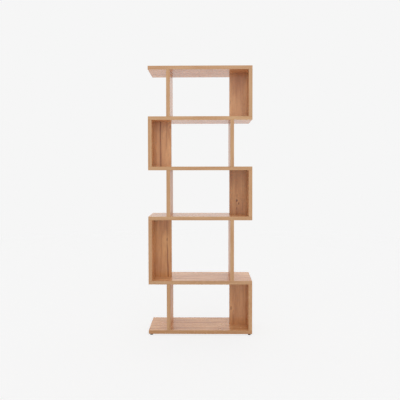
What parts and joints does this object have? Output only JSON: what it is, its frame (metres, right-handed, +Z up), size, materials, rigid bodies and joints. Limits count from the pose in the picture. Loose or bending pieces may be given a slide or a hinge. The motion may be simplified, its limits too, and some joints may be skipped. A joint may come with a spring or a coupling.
{
  "type": "zigzag bookshelf",
  "caption": "Tall open bookshelf whose end panels change sides from tier to tier, with inset uprights, mid-depth spine panels and screw-in levelling feet.",
  "frame": {"origin": "on the floor, under the middle of the shelves", "axes": "+Z up, +X to the right seen from the front, -Y towards the front"},
  "size_m": [0.74, 0.3, 1.92],
  "materials": {
    "board_veneer": "satin clear-lacquered oak veneer on board, lighter edge bands",
    "beech_biscuit": "bare pressed beech",
    "steel_fitting": "zinc-plated steel",
    "foot_plastic": "moulded dark brown plastic"
  },
  "bodies": {
    "carcass": {"shelf_1_bottom": "board_veneer", "shelf_2": "board_veneer", "shelf_3": "board_veneer", "shelf_4": "board_veneer", "shelf_5": "board_veneer", "shelf_6_top": "board_veneer", "end_panel_1_right": "board_veneer", "end_panel_2_left": "board_veneer", "end_panel_3_right": "board_veneer", "end_panel_4_left": "board_veneer", "end_panel_5_right": "board_veneer", "upright_1_left": "board_veneer", "upright_2_right": "board_veneer", "upright_3_left": "board_veneer", "upright_4_right": "board_veneer", "upright_5_left": "board_veneer", "spine_1_right": "board_veneer", "spine_2_left": "board_veneer", "spine_3_right": "board_veneer", "spine_4_left": "board_veneer", "spine_5_right": "board_veneer", "biscuits_tier_1": "beech_biscuit", "biscuits_tier_2": "beech_biscuit", "biscuits_tier_3": "beech_biscuit", "biscuits_tier_4": "beech_biscuit", "biscuits_tier_5": "beech_biscuit", "foot_inserts": "steel_fitting"},
    "foot_front_left": {"foot_pad_front_left": "foot_plastic", "foot_bolt_front_left": "steel_fitting"},
    "foot_front_right": {"foot_pad_front_right": "foot_plastic", "foot_bolt_front_right": "steel_fitting"},
    "foot_back_left": {"foot_pad_back_left": "foot_plastic", "foot_bolt_back_left": "steel_fitting"},
    "foot_back_right": {"foot_pad_back_right": "foot_plastic", "foot_bolt_back_right": "steel_fitting"}
  },
  "joints": [
    {"name": "foot_front_left_height", "type": "slide", "parent": "carcass", "child": "foot_front_left", "axis": [0, 0, 1], "range_m": [-0.01, 0.0017]},
    {"name": "foot_front_right_height", "type": "slide", "parent": "carcass", "child": "foot_front_right", "axis": [0, 0, 1], "range_m": [-0.01, 0.0017]},
    {"name": "foot_back_left_height", "type": "slide", "parent": "carcass", "child": "foot_back_left", "axis": [0, 0, 1], "range_m": [-0.01, 0.0017]},
    {"name": "foot_back_right_height", "type": "slide", "parent": "carcass", "child": "foot_back_right", "axis": [0, 0, 1], "range_m": [-0.01, 0.0017]}
  ]
}
